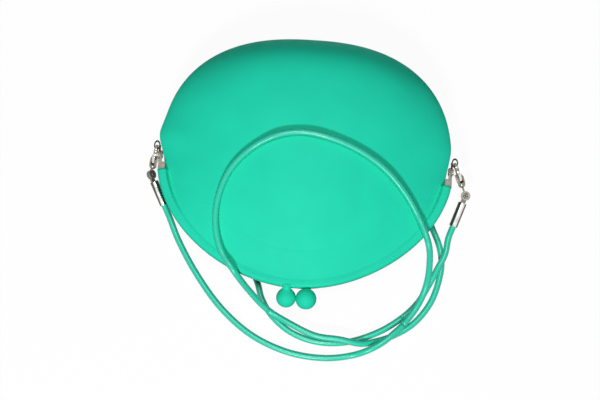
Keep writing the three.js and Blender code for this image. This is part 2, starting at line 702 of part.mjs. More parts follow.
function laidPlace([x, y, z]) {
  const long = y < 0 ? RIM_REACH / LAID.reach : BAG_FAR_REACH / LAID.farReach;
  const onBag = THREE.MathUtils.smoothstep(z, 2 * CORD_DIAMETER, LAID.mouth);
  const onCrown = Math.max(0, z - LAID.mouth) / LAID.crown;
  const lift = onBag * (MOUTH_HEIGHT - LAID.mouth) + onCrown * (TOP_CROWN - LAID.crown);
  return new THREE.Vector3((x * RIM_HALF_WIDTH) / LAID.halfWidth, y * long, z + lift);
}

const INSIDE = FERRULE_END - CORD_INSERTION;
const CORD_ENTRY = [INSIDE, FERRULE_END, FERRULE_END + CORD_LEAD];
const LEFT_RUN = [
  ...ferruleStretch(LEFT_SWIVEL, LEFT_CORDWAY, CORD_ENTRY),
  ...[
    [-77.2, -49.7, 2.4],
    [-63.8, -71.1, 2.2],
    [-46.4, -91.9, 2.2],
    [-26.2, -107.3, 2.2],
    [-2.6, -116.3, 2.2],
    [19.8, -118.3, 2.3],
    [36.4, -115.6, 3],
    [46.6, -111.8, 6.8],
    [55.2, -106.4, 7.7],
    [61.5, -100.6, 7.6],
    [66.8, -95.1, 7],
  ].map(laidPlace),
];
const LOOP = [
  [66.8, -95.1, 7],
  [75.5, -82.1, 7.2],
  [79.6, -70.4, 11.5],
  [80.2, -57.8, 22],
  [78, -46.5, 31.6],
  [71.1, -31, 32.6],
  [61.9, -17.8, 38.4],
  [48.4, -4.7, 44.5],
  [30.6, 5.4, 50.1],
  [10.7, 11.5, 53.6],
  [-4.5, 13.2, 53.6],
  [-19.5, 9.9, 53],
  [-34.1, 1.7, 48.8],
  [-45.7, -11.3, 44.8],
  [-52, -28.3, 39.8],
  [-52.4, -44.6, 35],
  [-48.1, -58.9, 31.8],
  [-39.6, -70.7, 31],
  [-28.6, -82.1, 17],
  [-17.8, -91, 7.5],
].map(laidPlace);
const UNDER_RUN = [
  [-17.8, -91, 7.5],
  [-3.5, -98.6, 7],
  [12.5, -105.1, 7],
  [28.1, -106.6, 7.2],
  [41.3, -108.3, 5.7],
  [51.4, -105.8, 2.8],
  [61.1, -101.9, 2.2],
  [73.2, -93.9, 2.2],
  [83.5, -80.2, 2.2],
  [88.4, -65, 2.2],
  [89.5, -53.8, 2.2],
  [87.6, -43.4, 2.2],
  [82.1, -31, 2.2],
  [74, -10, 2.2],
  [75, 31, 2.2],
  [47, 64, 2.2],
  [0, 75.4, 2.2],
  [-47, 64, 2.2],
  [-75, 29, 2.2],
  [-73, -8, 2.2],
  [-55, -35, 2.2],
  [-36.5, -55.5, 2.2],
  [-25.8, -73.2, 2.2],
  [-22.4, -83.2, 2.2],
  [-15.8, -93.3, 2.2],
  [-3.3, -103.2, 2.2],
  [13.1, -108.4, 2.2],
  [31.4, -107.8, 2.2],
  [50.9, -100.7, 2.2],
  [66.3, -90.3, 2.2],
].map(laidPlace);
const RIGHT_RUN = [
  ...[
    [66.3, -90.3, 2.2],
    [75.6, -80.4, 2.2],
    [81.5, -69.9, 2.8],
    [86.4, -59.3, 6.2],
    [91, -49.1, 7.6],
  ].map(laidPlace),
  ...ferruleStretch(RIGHT_SWIVEL, RIGHT_CORDWAY, CORD_ENTRY.toReversed()),
];

// The whole cord as one curve, and where along it each stretch ends
const CORD_LINE = new THREE.CatmullRomCurve3(
  [...LEFT_RUN, ...LOOP.slice(1), ...UNDER_RUN.slice(1), ...RIGHT_RUN.slice(1)],
  false,
  "centripetal",
);
CORD_LINE.arcLengthDivisions = 4000;
const CORD_LENGTH = CORD_LINE.getLength();

function lengthTo(pointIndex) {
  const share = pointIndex / (CORD_LINE.points.length - 1);
  return CORD_LINE.getLengths()[Math.round(share * CORD_LINE.arcLengthDivisions)];
}

const LOOP_START = lengthTo(LEFT_RUN.length - 1);
const UNDER_START = lengthTo(LEFT_RUN.length + LOOP.length - 2);
const RIGHT_START = lengthTo(LEFT_RUN.length + LOOP.length + UNDER_RUN.length - 3);

class Stretch extends THREE.Curve {
  constructor(from, to) {
    super();
    this.from = from;
    this.to = to;
  }

  getPoint(share, target = new THREE.Vector3()) {
    const along = THREE.MathUtils.lerp(this.from, this.to, share) / CORD_LENGTH;
    return CORD_LINE.getPointAt(THREE.MathUtils.clamp(along, 0, 1), target);
  }
}

function cord(name, from, to, steps) {
  const section = new THREE.Shape();
  section.absarc(0, 0, CORD_DIAMETER / 2, 0, 2 * Math.PI, false);
  const start = from > 0 ? from + CORD_FACE_GAP / 2 : 0;
  const end = to < CORD_LENGTH ? to - CORD_FACE_GAP / 2 : CORD_LENGTH;
  const geometry = new THREE.ExtrudeGeometry(section, {
    steps,
    extrudePath: new Stretch(start, end),
    curveSegments: CORD_SIDES / 2,
    bevelEnabled: false,
  });
  return meshOf(name, solidOf(geometry), CORD);
}

// The least free distance between two places of the cord that are far apart along it
function leastCordGap() {
  const spacing = 2;
  const line = CORD_LINE.getSpacedPoints(Math.round(CORD_LENGTH / spacing));
  const apart = 20;
  let least = Infinity;
  for (let i = 0; i < line.length; i++) {
    for (let j = i + apart; j < line.length; j++) least = Math.min(least, line[i].distanceTo(line[j]));
  }
  return least - CORD_DIAMETER;
}

console.log("cord length", CORD_LENGTH.toFixed(1), "least gap to itself", leastCordGap().toFixed(2));

const group = new THREE.Group();
group.add(
  backShell(),
  frontWall(),
  frame("back_frame", -1),
  frame("front_frame", 1),
  hingeRivet("left_hinge_rivet", -1),
  hingeRivet("right_hinge_rivet", 1),
  ball("front_ball", 1),
  ball("back_ball", -1),
  ...strapEnd("left", -1, LEFT_SWIVEL, LEFT_CORDWAY, LEFT_SWIVEL_TILT),
  ...strapEnd("right", 1, RIGHT_SWIVEL, RIGHT_CORDWAY, RIGHT_SWIVEL_TILT),
  cord("strap_left_run", 0, LOOP_START, LEFT_STEPS),
  cord("strap_loop", LOOP_START, UNDER_START, LOOP_STEPS),
  cord("strap_under_run", UNDER_START, RIGHT_START, UNDER_STEPS),
  cord("strap_right_run", RIGHT_START, CORD_LENGTH, RIGHT_STEPS),
);

export default group;
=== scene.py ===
"""Looks of a moulded silicone kiss-lock purse with a round cord strap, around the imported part's frame."""
import json
import math

import bmesh
import bpy
import numpy as np
from mathutils import Matrix, Vector


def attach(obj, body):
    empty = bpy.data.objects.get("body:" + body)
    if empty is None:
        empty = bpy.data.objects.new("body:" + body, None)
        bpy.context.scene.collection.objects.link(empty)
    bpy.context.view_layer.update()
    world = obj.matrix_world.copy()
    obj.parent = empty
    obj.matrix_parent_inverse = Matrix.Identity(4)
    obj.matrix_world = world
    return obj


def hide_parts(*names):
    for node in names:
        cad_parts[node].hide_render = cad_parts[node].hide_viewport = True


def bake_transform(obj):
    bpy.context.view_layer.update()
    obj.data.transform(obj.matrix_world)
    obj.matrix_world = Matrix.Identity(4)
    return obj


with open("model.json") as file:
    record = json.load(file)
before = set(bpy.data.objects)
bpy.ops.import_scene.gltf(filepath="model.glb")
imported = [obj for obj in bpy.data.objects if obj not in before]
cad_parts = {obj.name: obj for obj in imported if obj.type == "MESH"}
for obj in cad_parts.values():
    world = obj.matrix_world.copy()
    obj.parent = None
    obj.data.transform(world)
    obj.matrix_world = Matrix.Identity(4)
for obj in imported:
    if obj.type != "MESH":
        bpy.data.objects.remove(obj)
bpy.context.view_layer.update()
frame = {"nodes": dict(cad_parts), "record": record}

MM = 0.001

# Camera, in millimetres and degrees
CAMERA_TARGET = (-2.03, -23.25, 24.0)
CAMERA_DISTANCE = 878.0
CAMERA_ELEVATION = 80.0
CAMERA_ROLL = 3.5
LENS = 85.0
SENSOR_WIDTH = 36.0

# Outline of the bag and of the rim of its mouth, in millimetres
RIM_HALF_WIDTH = 92.1
RIM_REACH = 78.1
RIM_SLIMNESS = 0.02
RIM_OVERHANG = 1.2
BAG_HALF_WIDTH = RIM_HALF_WIDTH - RIM_OVERHANG
BAG_FAR_REACH = 79.8
FAR_SQUARENESS = 2.44
OUTLINE_LEAN = 0.012
LEFT_SWELL = 1.7
LEFT_SWELL_PLACE = 12.0
LEFT_SWELL_LENGTH = 8.5
WAIST_FRONT = -6.0
WAIST_BACK = 16.0

# Walls of the bag, in millimetres. A fullness is an exponent: the larger, the sooner a wall falls away.
# The top's crown is 0.5 mm over the solid's, because evening out the dome lowers it.
# The top's far end falls away sooner than the solid's, for the shading in the photo.
MOUTH_HEIGHT = 24.0
TOP_CROWN = 27.5
BOTTOM_CROWN = 30.0
MOUTH_POWER = 1.5
FAR_POWER = 6.0
MOUTH_FULLNESS = 0.8
TOP_FAR_FULLNESS = 0.88
BOTTOM_FAR_FULLNESS = 0.6
DOME_SOFTNESS = 16.0
DOME_SOFT_SHARES = (0.05, 0.5)
DOME_RINGS = (0.5, 1.0)
DOME_SAMPLES = 12
WALL = 2.0
MOUTH_GAP = 0.4
MOUTH_CORNER = 6.0
BAG_COLUMNS = 320
BAG_ROWS = 64

# Rim sleeves, in millimetres: each runs into the wall behind it with a soft crease
SLEEVE_WIDTH = 5.6
SLEEVE_OVERLAP = 1.2
SLEEVE_HEIGHT = 4.8
SLEEVE_END = 10.0
SLEEVE_TOP_ROUNDING = 2.1
SLEEVE_LIP_ROUNDING = 1.0
SLEEVE_STEPS = 180
ROUNDING_STEPS = 8
SIDE_SHARPNESS = 4
FRONT_BEAD = 4.5
SIDE_BEAD = 6.2
FRONT_CREASE_HALF_WIDTH = 0.9
SIDE_CREASE_HALF_WIDTH = 1.4
FRONT_CREASE = 0.22
SIDE_CREASE = 1.2
CREASE_SOFTNESS = 3.0
SHELF_SLOPE = 0.30
SKIRT_END = 24.0
SKIRT_FADE = 32.0
SKIRT_STEPS = 64
SKIRT_TUCK = 0.5
SKIRT_TUCK_LENGTH = 4.0
SKIRT_THICKNESS = 0.4
UNDERSIDE_START = SKIRT_END - 0.5
UNDERSIDE_STEPS = 14
UNDERSIDE_DROP = 1.0

# Kiss-lock balls, in millimetres and degrees, placed along the rim from its middle
FRONT_BALL = {"node": "front_ball", "side": 1, "radius": 6.1, "along": -6.0, "out": 6.25}
BACK_BALL = {"node": "back_ball", "side": -1, "radius": 6.45, "along": 6.2, "out": 6.75}
BALL_OFFSET = 2.0
BALL_SIDES = 48
BALL_CAP_TURN = 88.0
BALL_CAP_RINGS = 20
NECK_RADIUS = 2.5
NECK_DEPTH = 2.5
NECK_FLARE = 1.4
NECK_FLARE_LENGTH = 2.0 * NECK_DEPTH
NECK_SOFTNESS = 2.6
NECK_RINGS = 40

# Opening of the front wall, in degrees and millimetres: weights for how it would follow the front jaw round
# the hinge axis
FOLD_START = 15.0
FOLD_END = 100.0
FOLD_NEAR_AXIS = (4.0, 11.0)

# Strap cord, in millimetres
CORD_DIAMETER = 4.0
CORD_STEP = 1.6
CORD_SPAN_STEPS = 24
CORD_SIDES = 20
LEFT_CORDWAY = (10.4, -20.2, -6.5)
RIGHT_CORDWAY = (-6.4, -18.8, -3.7)
FERRULE_END = 20.6
CORD_INSERTION = 6.0
CORD_LEAD = 8.0

# Weights along the strap's loop, in millimetres along it: what would stay straight, bend and stay down
CORD_REST = 4.0
LOOP_FIRST_RISE = 60.0
LOOP_LAST_RISE = 45.0

# Hardware, in millimetres and degrees
EDGE_BREAK = 0.12
HOOK_EDGE_BREAK = 0.25
EDGE_SEGMENTS = 2
EDGE_PROFILE = 0.6
SHARP_ANGLE = 35.0
MERGE_DISTANCE = 0.005
FERRULE_START = 4.8
KNURL_PITCH = 0.8
POLISHED_HALF_ANGLE = 32.0
EYE_FROM = 1.5
HOOK_DISC_RADIUS = 3.4
RIVET_TOP = 2.35
PAD_SINK = 0.1
PAD_ARC_POINTS = 7
CROSS_RADIUS = 1.25
CROSS_SLOT = 0.45
CROSS_HEIGHT = 0.22

# Route of the strap, in millimetres, as in the part's source
LEFT_RUN = [
    (-77.2, -49.7, 2.4),
    (-63.8, -71.1, 2.2),
    (-46.4, -91.9, 2.2),
    (-26.2, -107.3, 2.2),
    (-2.6, -116.3, 2.2),
    (19.8, -118.3, 2.3),
    (36.4, -115.6, 3.0),
    (46.6, -111.8, 6.8),
    (55.2, -106.4, 7.7),
    (61.5, -100.6, 7.6),
    (66.8, -95.1, 7.0),
]
LOOP = [
    (75.5, -82.1, 7.2),
    (79.6, -70.4, 11.5),
    (80.2, -57.8, 22.0),
    (78.0, -46.5, 31.6),
    (71.1, -31.0, 32.6),
    (61.9, -17.8, 38.4),
    (48.4, -4.7, 44.5),
    (30.6, 5.4, 50.1),
    (10.7, 11.5, 53.6),
    (-4.5, 13.2, 53.6),
    (-19.5, 9.9, 53.0),
    (-34.1, 1.7, 48.8),
    (-45.7, -11.3, 44.8),
    (-52.0, -28.3, 39.8),
    (-52.4, -44.6, 35.0),
    (-48.1, -58.9, 31.8),
    (-39.6, -70.7, 31.0),
    (-28.6, -82.1, 17.0),
    (-17.8, -91.0, 7.5),
]
UNDER_RUN = [
    (-3.5, -98.6, 7.0),
    (12.5, -105.1, 7.0),
    (28.1, -106.6, 7.2),
    (41.3, -108.3, 5.7),
    (51.4, -105.8, 2.8),
    (61.1, -101.9, 2.2),
    (73.2, -93.9, 2.2),
    (83.5, -80.2, 2.2),
    (88.4, -65.0, 2.2),
    (89.5, -53.8, 2.2),
    (87.6, -43.4, 2.2),
    (82.1, -31.0, 2.2),
    (74.0, -10.0, 2.2),
    (75.0, 31.0, 2.2),
    (47.0, 64.0, 2.2),
    (0.0, 75.4, 2.2),
    (-47.0, 64.0, 2.2),
    (-75.0, 29.0, 2.2),
    (-73.0, -8.0, 2.2),
    (-55.0, -35.0, 2.2),
    (-36.5, -55.5, 2.2),
    (-25.8, -73.2, 2.2),
    (-22.4, -83.2, 2.2),
    (-15.8, -93.3, 2.2),
    (-3.3, -103.2, 2.2),
    (13.1, -108.4, 2.2),
    (31.4, -107.8, 2.2),
    (50.9, -100.7, 2.2),
    (66.3, -90.3, 2.2),
]
RIGHT_RUN = [
    (75.6, -80.4, 2.2),
    (81.5, -69.9, 2.8),
    (86.4, -59.3, 6.2),
    (91.0, -49.1, 7.6),
]

# Finishes: linear colours, with the roughness and gloss of each
SILICONE_COLOUR = (0.017, 0.690, 0.450)
SILICONE_ROUGHNESS = 0.55
SILICONE_GLOSS = 0.06
CORD_COLOUR = (0.018, 0.600, 0.405)
CORD_ROUGHNESS = 0.30
CORD_GLOSS = 0.40
PLATING_COLOUR = (0.300, 0.285, 0.230)
PLATING_ROUGHNESS = 0.26
POLISHED_COLOUR = (0.880, 0.880, 0.860)
POLISHED_ROUGHNESS = 0.14
SATIN_COLOUR = (0.250, 0.240, 0.210)
SATIN_ROUGHNESS = 0.60
# A near black metal for painted shade: on the back frame's eyes, along the hook's edges and on the rivet
# heads under their cross slots.
PAINTED_SHADE_COLOUR = (0.050, 0.050, 0.045)
PAINTED_SHADE_ROUGHNESS = 0.70
# The knurled flanks' colour is partly their own tone and partly painted dark reflection, where a polished
# cylinder's sides look dark.
KNURL_AND_EDGE_SHADE_COLOUR = (0.170, 0.155, 0.130)
KNURL_ROUGHNESS = 0.35

# Detail in the finishes: a noise is scale, detail and roughness, and a bump strength and millimetres
CLOUDING_NOISE = (45.0, 3.0, 0.5)
CLOUDING_SHADES = (0.97, 1.015)
DUSTING_NOISE = (160.0, 4.0, 0.6)
DUSTING_SPREAD = 0.05
GRAIN_NOISE = (3200.0, 2.0, 0.5)
GRAIN_BUMP = (0.25, 0.03)
SWELL_NOISE = (70.0, 2.0, 0.5)
SWELL_BUMP = (0.10, 0.10)
STAIN_NOISE = (420.0, 4.0, 0.6)
STAIN_SHADE = 0.75
RUB_NOISE = (900.0, 3.0, 0.5)
RUB_LESS = 0.06
RUB_MORE = 0.08
RIPPLE_NOISE = (1500.0, 2.0, 0.5)
RIPPLE_BUMP = (0.2, 0.05)
# The knurling's grooves are painted darker than its ridges: painted shade.
KNURL_GROOVE_PAINTED_SHADE = 0.35
KNURL_BUMP = (0.8, 0.15)
NOISE_BAND = (0.35, 0.65)
WHOLE_BAND = (0.0, 1.0)

# Floor and light, in metres and watts: floor and world look white, but light the object less than that
WORLD_LIGHT = 0.04
FLOOR_SIZE = 6.0
FLOOR_COLOUR = 0.95
FLOOR_ROUGHNESS = 0.9
FLOOR_WHITENESS = 0.94
FLOOR_BOUNCE = 0.08
KEY_PLACE = (0.0, 0.0, 1.64)
KEY_SIZE = 0.30
KEY_POWER = 10.8
LOW_PLACE = (-0.15, -1.14, 1.16)
LOW_SIZE = 0.25
LOW_POWER = 16.8
LAMP_TARGET = (0.0, 0.0, 0.02)
WHITE = (1.0, 1.0, 1.0, 1.0)


# Small helpers

def between(first, second, share):
    return first + (second - first) * share


def smoothstep(value, low, high):
    share = np.clip((np.asarray(value, float) - low) / (high - low), 0.0, 1.0)
    return share * share * (3.0 - 2.0 * share)


def soft_max(a, b, softness):
    """The larger of two heights, with the corner where they cross rounded off."""
    blend = np.maximum(softness - np.abs(a - b), 0.0)
    return np.maximum(a, b) + blend * blend / (4.0 * softness)


def full_turn(count):
    """Equal steps round a circle, in radians."""
    return 2 * math.pi * np.arange(count) / count


def mesh_piece(name, points, faces, material):
    """A smooth-shaded piece from points in millimetres."""
    mesh = bpy.data.meshes.new(name)
    mesh.from_pydata([tuple(p) for p in np.asarray(points, float) * MM], [], faces)
    mesh.validate()
    bm = bmesh.new()
    bm.from_mesh(mesh)
    bmesh.ops.recalc_face_normals(bm, faces=bm.faces)
    bm.to_mesh(mesh)
    bm.free()
    for polygon in mesh.polygons:
        polygon.use_smooth = True
    piece = bpy.data.objects.new(name, mesh)
    bpy.context.collection.objects.link(piece)
    piece.data.materials.append(material)
    return piece


def strip(first, second):
    """Quads between two closed rows of equally many vertex numbers."""
    count = len(first)
    return [
        (first[i], first[(i + 1) % count], second[(i + 1) % count], second[i])
        for i in range(count)
    ]


def skin_over(rings):
    """Points and faces over rings of equally many points, with closed ends."""
    sides = len(rings[0])
    faces = []
    for i in range(1, len(rings)):
        before = list(range((i - 1) * sides, i * sides))
        faces += strip(before, list(range(i * sides, (i + 1) * sides)))
    faces.append(tuple(range(sides)))
    faces.append(tuple(range((len(rings) - 1) * sides, len(rings) * sides)))
    return np.concatenate(rings), faces


# Materials

def new_material(name):
    material = bpy.data.materials.new(name)
    material.use_nodes = True
    tree = material.node_tree
    return material, tree, tree.nodes["Principled BSDF"]


def noise(tree, scale, detail, roughness):
    place = tree.nodes.new("ShaderNodeTexCoord")
    node = tree.nodes.new("ShaderNodeTexNoise")
    node.inputs["Scale"].default_value = scale
    node.inputs["Detail"].default_value = detail
    node.inputs["Roughness"].default_value = roughness
    tree.links.new(place.outputs["Object"], node.inputs["Vector"])
    return node.outputs["Fac"]


def ramp(tree, value, low, high, band=NOISE_BAND):
    """Goes from one colour to another while a value crosses the band."""
    node = tree.nodes.new("ShaderNodeValToRGB")
    for element, position, colour in zip(node.color_ramp.elements, band, (low, high)):
        element.position = position
        element.color = colour
    tree.links.new(value, node.inputs["Fac"])
    return node.outputs["Color"]


def grey(value):
    return (value, value, value, 1.0)


def shade(colour, factor):
    return tuple(min(1.0, factor * c) for c in colour) + (1.0,)


def bump(tree, height, strength, distance, before=None):
    node = tree.nodes.new("ShaderNodeBump")
    node.inputs["Strength"].default_value = strength
    node.inputs["Distance"].default_value = distance * MM
    tree.links.new(height, node.inputs["Height"])
    if before:
        tree.links.new(before, node.inputs["Normal"])
    return node.outputs["Normal"]


def scaled(tree, value, factor, offset=0.0):
    node = tree.nodes.new("ShaderNodeMath")
    node.operation = "MULTIPLY_ADD"
    node.inputs[1].default_value = factor
    node.inputs[2].default_value = offset
    tree.links.new(value, node.inputs[0])
    return node.outputs["Value"]


def silicone(name, colour, roughness, gloss):
    """Moulded silicone: an even colour with faint clouding, a satin skin and a fine moulded grain."""
    material, tree, shader = new_material(name)
    dark, light = (shade(colour, factor) for factor in CLOUDING_SHADES)
    tint = ramp(tree, noise(tree, *CLOUDING_NOISE), dark, light)
    tree.links.new(tint, shader.inputs["Base Color"])
    smooth, dusty = grey(roughness - DUSTING_SPREAD), grey(roughness + DUSTING_SPREAD)
    sheen = ramp(tree, noise(tree, *DUSTING_NOISE), smooth, dusty)
    tree.links.new(sheen, shader.inputs["Roughness"])
    grain = bump(tree, noise(tree, *GRAIN_NOISE), *GRAIN_BUMP)
    swell = bump(tree, noise(tree, *SWELL_NOISE), *SWELL_BUMP, grain)
    tree.links.new(swell, shader.inputs["Normal"])
    shader.inputs["Specular IOR Level"].default_value = gloss
    return material


def plated_metal(name, colour, roughness):
    """Plating over a casting: faint staining, rougher patches and tiny ripples."""
    material, tree, shader = new_material(name)
    tint = ramp(tree, noise(tree, *STAIN_NOISE), shade(colour, STAIN_SHADE), shade(colour, 1.0))
    tree.links.new(tint, shader.inputs["Base Color"])
    rub = ramp(tree, noise(tree, *RUB_NOISE), grey(roughness - RUB_LESS), grey(roughness + RUB_MORE))
    tree.links.new(rub, shader.inputs["Roughness"])
    ripple = bump(tree, noise(tree, *RIPPLE_NOISE), *RIPPLE_BUMP)
    tree.links.new(ripple, shader.inputs["Normal"])
    shader.inputs["Metallic"].default_value = 1.0
    return material


def knurled_metal_with_painted_shade(name, colour, roughness, way):
    """Rolled flanks of a ferrule: plated metal with fine ridges across its way. Its dark colour is partly
    the flanks' own tone and partly painted dark reflection along the cylinder's sides.
    """
    material, tree, shader = new_material(name)
    place = tree.nodes.new("ShaderNodeTexCoord")
    along = tree.nodes.new("ShaderNodeVectorMath")
    along.operation = "DOT_PRODUCT"
    along.inputs[1].default_value = way
    tree.links.new(place.outputs["Object"], along.inputs[0])
    turns = scaled(tree, along.outputs["Value"], 2 * math.pi / (KNURL_PITCH * MM))
    wave = tree.nodes.new("ShaderNodeMath")
    wave.operation = "SINE"
    tree.links.new(turns, wave.inputs[0])
    height = scaled(tree, wave.outputs["Value"], 0.5, 0.5)
    # Darker in the grooves between the ridges: painted shade.
    tint = ramp(tree, height, shade(colour, KNURL_GROOVE_PAINTED_SHADE), shade(colour, 1.0), WHOLE_BAND)
    tree.links.new(tint, shader.inputs["Base Color"])
    ridges = bump(tree, height, *KNURL_BUMP)
    tree.links.new(ridges, shader.inputs["Normal"])
    shader.inputs["Roughness"].default_value = roughness
    shader.inputs["Metallic"].default_value = 1.0
    return material


# Camera

def add_camera():
    elevation = math.radians(CAMERA_ELEVATION)
    roll = math.radians(CAMERA_ROLL)
    forward = Vector((0.0, math.cos(elevation), -math.sin(elevation)))
    side = Vector((1.0, 0.0, 0.0))
    rise = Vector((0.0, math.sin(elevation), math.cos(elevation)))
    right = side * math.cos(roll) + rise * math.sin(roll)
    top = rise * math.cos(roll) - side * math.sin(roll)
    camera = bpy.data.objects.new("camera", bpy.data.cameras.new("camera"))
    camera.data.lens = LENS
    camera.data.sensor_width = SENSOR_WIDTH
    placing = Matrix((right, top, -forward)).transposed().to_4x4()
    placing.translation = (Vector(CAMERA_TARGET) - forward * CAMERA_DISTANCE) * MM
    camera.matrix_world = placing
    bpy.context.collection.objects.link(camera)
    bpy.context.scene.camera = camera


add_camera()
BAG_SILICONE = silicone("bag_silicone", SILICONE_COLOUR, SILICONE_ROUGHNESS, SILICONE_GLOSS)
CORD_SILICONE = silicone("cord_silicone", CORD_COLOUR, CORD_ROUGHNESS, CORD_GLOSS)
PLATING = plated_metal("plated_metal", PLATING_COLOUR, PLATING_ROUGHNESS)
POLISHED = plated_metal("polished_metal", POLISHED_COLOUR, POLISHED_ROUGHNESS)
SATIN = plated_metal("satin_metal", SATIN_COLOUR, SATIN_ROUGHNESS)
PAINTED_SHADE_METAL = plated_metal("painted_shade_metal", PAINTED_SHADE_COLOUR, PAINTED_SHADE_ROUGHNESS)
BEHAVIOUR = frame["record"]["behaviour"]
JOINTS = {joint["name"]: joint for joint in BEHAVIOUR["joints"]}
BODY_OF = {node: body for body, nodes in BEHAVIOUR["bodies"].items() for node in nodes}


# Strap cord

def swivel_frame(side):
    """Where a strap end turns, its ferrule's way, its turning axis and the direction across both."""
    joint = JOINTS[side + "_swivel"]
    way = np.array(LEFT_CORDWAY if side == "left" else RIGHT_CORDWAY)
    way /= np.linalg.norm(way)
    axis = np.array(joint["axis"], float)
    return np.array(joint["pos_m"], float) / MM, way, axis, np.cross(way, axis)


def in_ferrule(side):
    """Points of the cord from its end in the ferrule to a little way out of it."""
    start, way, _, _ = swivel_frame(side)
    reaches = (FERRULE_END - CORD_INSERTION, FERRULE_END, FERRULE_END + CORD_LEAD)
    return [start + way * reach for reach in reaches]


def catmull_rom(points, per_span):
    """A centripetal curve through the points, with the end spans extended straight on."""
    p = np.array(points, float)
    p = np.vstack([2 * p[0] - p[1], p, 2 * p[-1] - p[-2]])
    line = []
    knots = []
    for i in range(1, len(p) - 2):
        a, b, c, d = p[i - 1], p[i], p[i + 1], p[i + 2]
        ab, bc, cd = (math.sqrt(np.linalg.norm(v)) for v in (b - a, c - b, d - c))
        out_b = ((b - a) / ab - (c - a) / (ab + bc) + (c - b) / bc) * bc
        out_c = ((c - b) / bc - (d - b) / (bc + cd) + (d - c) / cd) * bc
        knots.append(len(line))
        for t in np.arange(per_span) / per_span:
            line.append(
                (2 * t**3 - 3 * t**2 + 1) * b
                + (t**3 - 2 * t**2 + t) * out_b
                + (3 * t**2 - 2 * t**3) * c
                + (t**3 - t**2) * out_c
            )
    knots.append(len(line))
    line.append(p[-2])
    return np.array(line), knots


def distances(line):
    """How far along a line each of its points lies."""
    return np.concatenate([[0.0], np.cumsum(np.linalg.norm(np.diff(line, axis=0), axis=1))])


def respaced(line, step):
    """The same line with even steps, and its length."""
    along = distances(line)
    count = max(2, round(along[-1] / step))
    wanted = np.linspace(0.0, along[-1], count + 1)
    return np.stack([np.interp(wanted, along, line[:, k]) for k in range(3)], axis=1), along[-1]


def tube(line, radius, sides):
    """Rings square to a line, carried along it without twist, with closed ends."""
    ways = np.gradient(line, axis=0)
    ways /= np.linalg.norm(ways, axis=1)[:, None]
    normal = np.cross(ways[0], (0.0, 0.0, 1.0))
    normal /= np.linalg.norm(normal)
    turns = full_turn(sides)
    rings = []
    for centre, way in zip(line, ways):
        normal -= way * normal.dot(way)
        normal /= np.linalg.norm(normal)
        around = np.outer(np.cos(turns), normal) + np.outer(np.sin(turns), np.cross(way, normal))
        rings.append(centre + radius * around)
    return skin_over(rings)


def add_strap():
    left = in_ferrule("left") + LEFT_RUN
    right = RIGHT_RUN + in_ferrule("right")[::-1]
    whole, knots = catmull_rom(left + LOOP + UNDER_RUN + right, CORD_SPAN_STEPS)
    cuts = np.cumsum([len(left) - 1, len(LOOP), len(UNDER_RUN), len(right)])
    first = 0
    stretches = []
    for cut in cuts:
        stretches.append(respaced(whole[knots[first] : knots[cut] + 1], CORD_STEP))
        first = cut
    names = ["strap_left_run", "strap_loop", "strap_under_run", "strap_right_run"]
    pieces = []
    for name, (line, length) in zip(names, stretches):
        points, faces = tube(line, CORD_DIAMETER / 2, CORD_SIDES)
        piece = mesh_piece(name.replace("strap", "cord"), points, faces, CORD_SILICONE)
        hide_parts(name)
        pieces.append(piece)
    bend_strap(pieces, [line for line, _ in stretches])


def bend_strap(pieces, lines):
    """The ends and the loop stay where they lie, and the run under the bag rides with the bag; weights for
    the loop are worked out but not used.
    """
    left, loop, under, right = pieces
    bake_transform(left)
    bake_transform(right)
    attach(under, "bag")
    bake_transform(loop)
    fold_weight(lines[1]) * table_release(lines[1])


def table_release(line):
    """0 at the two ends of the loop, which lie on other stretches, and 1 further in."""
    along = distances(line)
    first = smoothstep(along, CORD_REST, LOOP_FIRST_RISE)
    return first * smoothstep(along[-1] - along, CORD_REST, LOOP_LAST_RISE)


def fold_weight(points):
    """How far a point of the upper wall would turn with the front jaw: wholly at the rim, not at all
    behind.
    """
    p = np.asarray(points, float)
    rise = p[:, 2] - MOUTH_HEIGHT
    angle = np.degrees(np.arctan2(rise, -p[:, 1]))
    reach = np.hypot(p[:, 1], rise)
    return (1.0 - smoothstep(angle, FOLD_START, FOLD_END)) * smoothstep(reach, *FOLD_NEAR_AXIS)


add_strap()


# Bag

def rim_radius(angle, inset):
    """Distance from the middle of the hinge axis to the rim, or to a line inside it."""
    slimming = 1.0 - RIM_SLIMNESS * np.sin(2 * angle) ** 2
    across = np.cos(angle) / (RIM_HALF_WIDTH - inset)
    return slimming / np.hypot(across, np.sin(angle) / (RIM_REACH - inset))


def bag_radius(angle):
    """In front the bag meets the inner edge of the sleeves, and behind the hinges it swells."""
    c = np.abs(np.cos(angle) / BAG_HALF_WIDTH)
    s = np.abs(np.sin(angle) / BAG_FAR_REACH)
    far = (c**FAR_SQUARENESS + s**FAR_SQUARENESS) ** (-1.0 / FAR_SQUARENESS)
    front = rim_radius(angle, SLEEVE_WIDTH - SLEEVE_OVERLAP)
    depth = BAG_HALF_WIDTH * np.sin(angle)
    off_swell = (depth - LEFT_SWELL_PLACE) / LEFT_SWELL_LENGTH
    swell = LEFT_SWELL * np.exp(-(off_swell**2)) * (np.cos(angle) < 0)
    return between(front, far, smoothstep(depth, WAIST_FRONT, WAIST_BACK)) + swell


def outline(radius, angle):
    """Points of an outline, which leans to the left in front of the hinges."""
    y = radius * np.sin(angle)
    x = radius * np.cos(angle) + OUTLINE_LEAN * np.minimum(y, 0.0)
    return np.stack([x, y, np.zeros_like(y)], axis=-1)


def crown(share, angle, far_fullness):
    """How much of its full height a wall has: domed towards the mouth, boxy behind."""
    far = np.maximum(0.0, np.sin(angle)) ** 2
    power = between(MOUTH_POWER, FAR_POWER, far)
    fullness = between(MOUTH_FULLNESS, far_fullness, far)
    return np.maximum(0.0, 1.0 - share**power) ** fullness


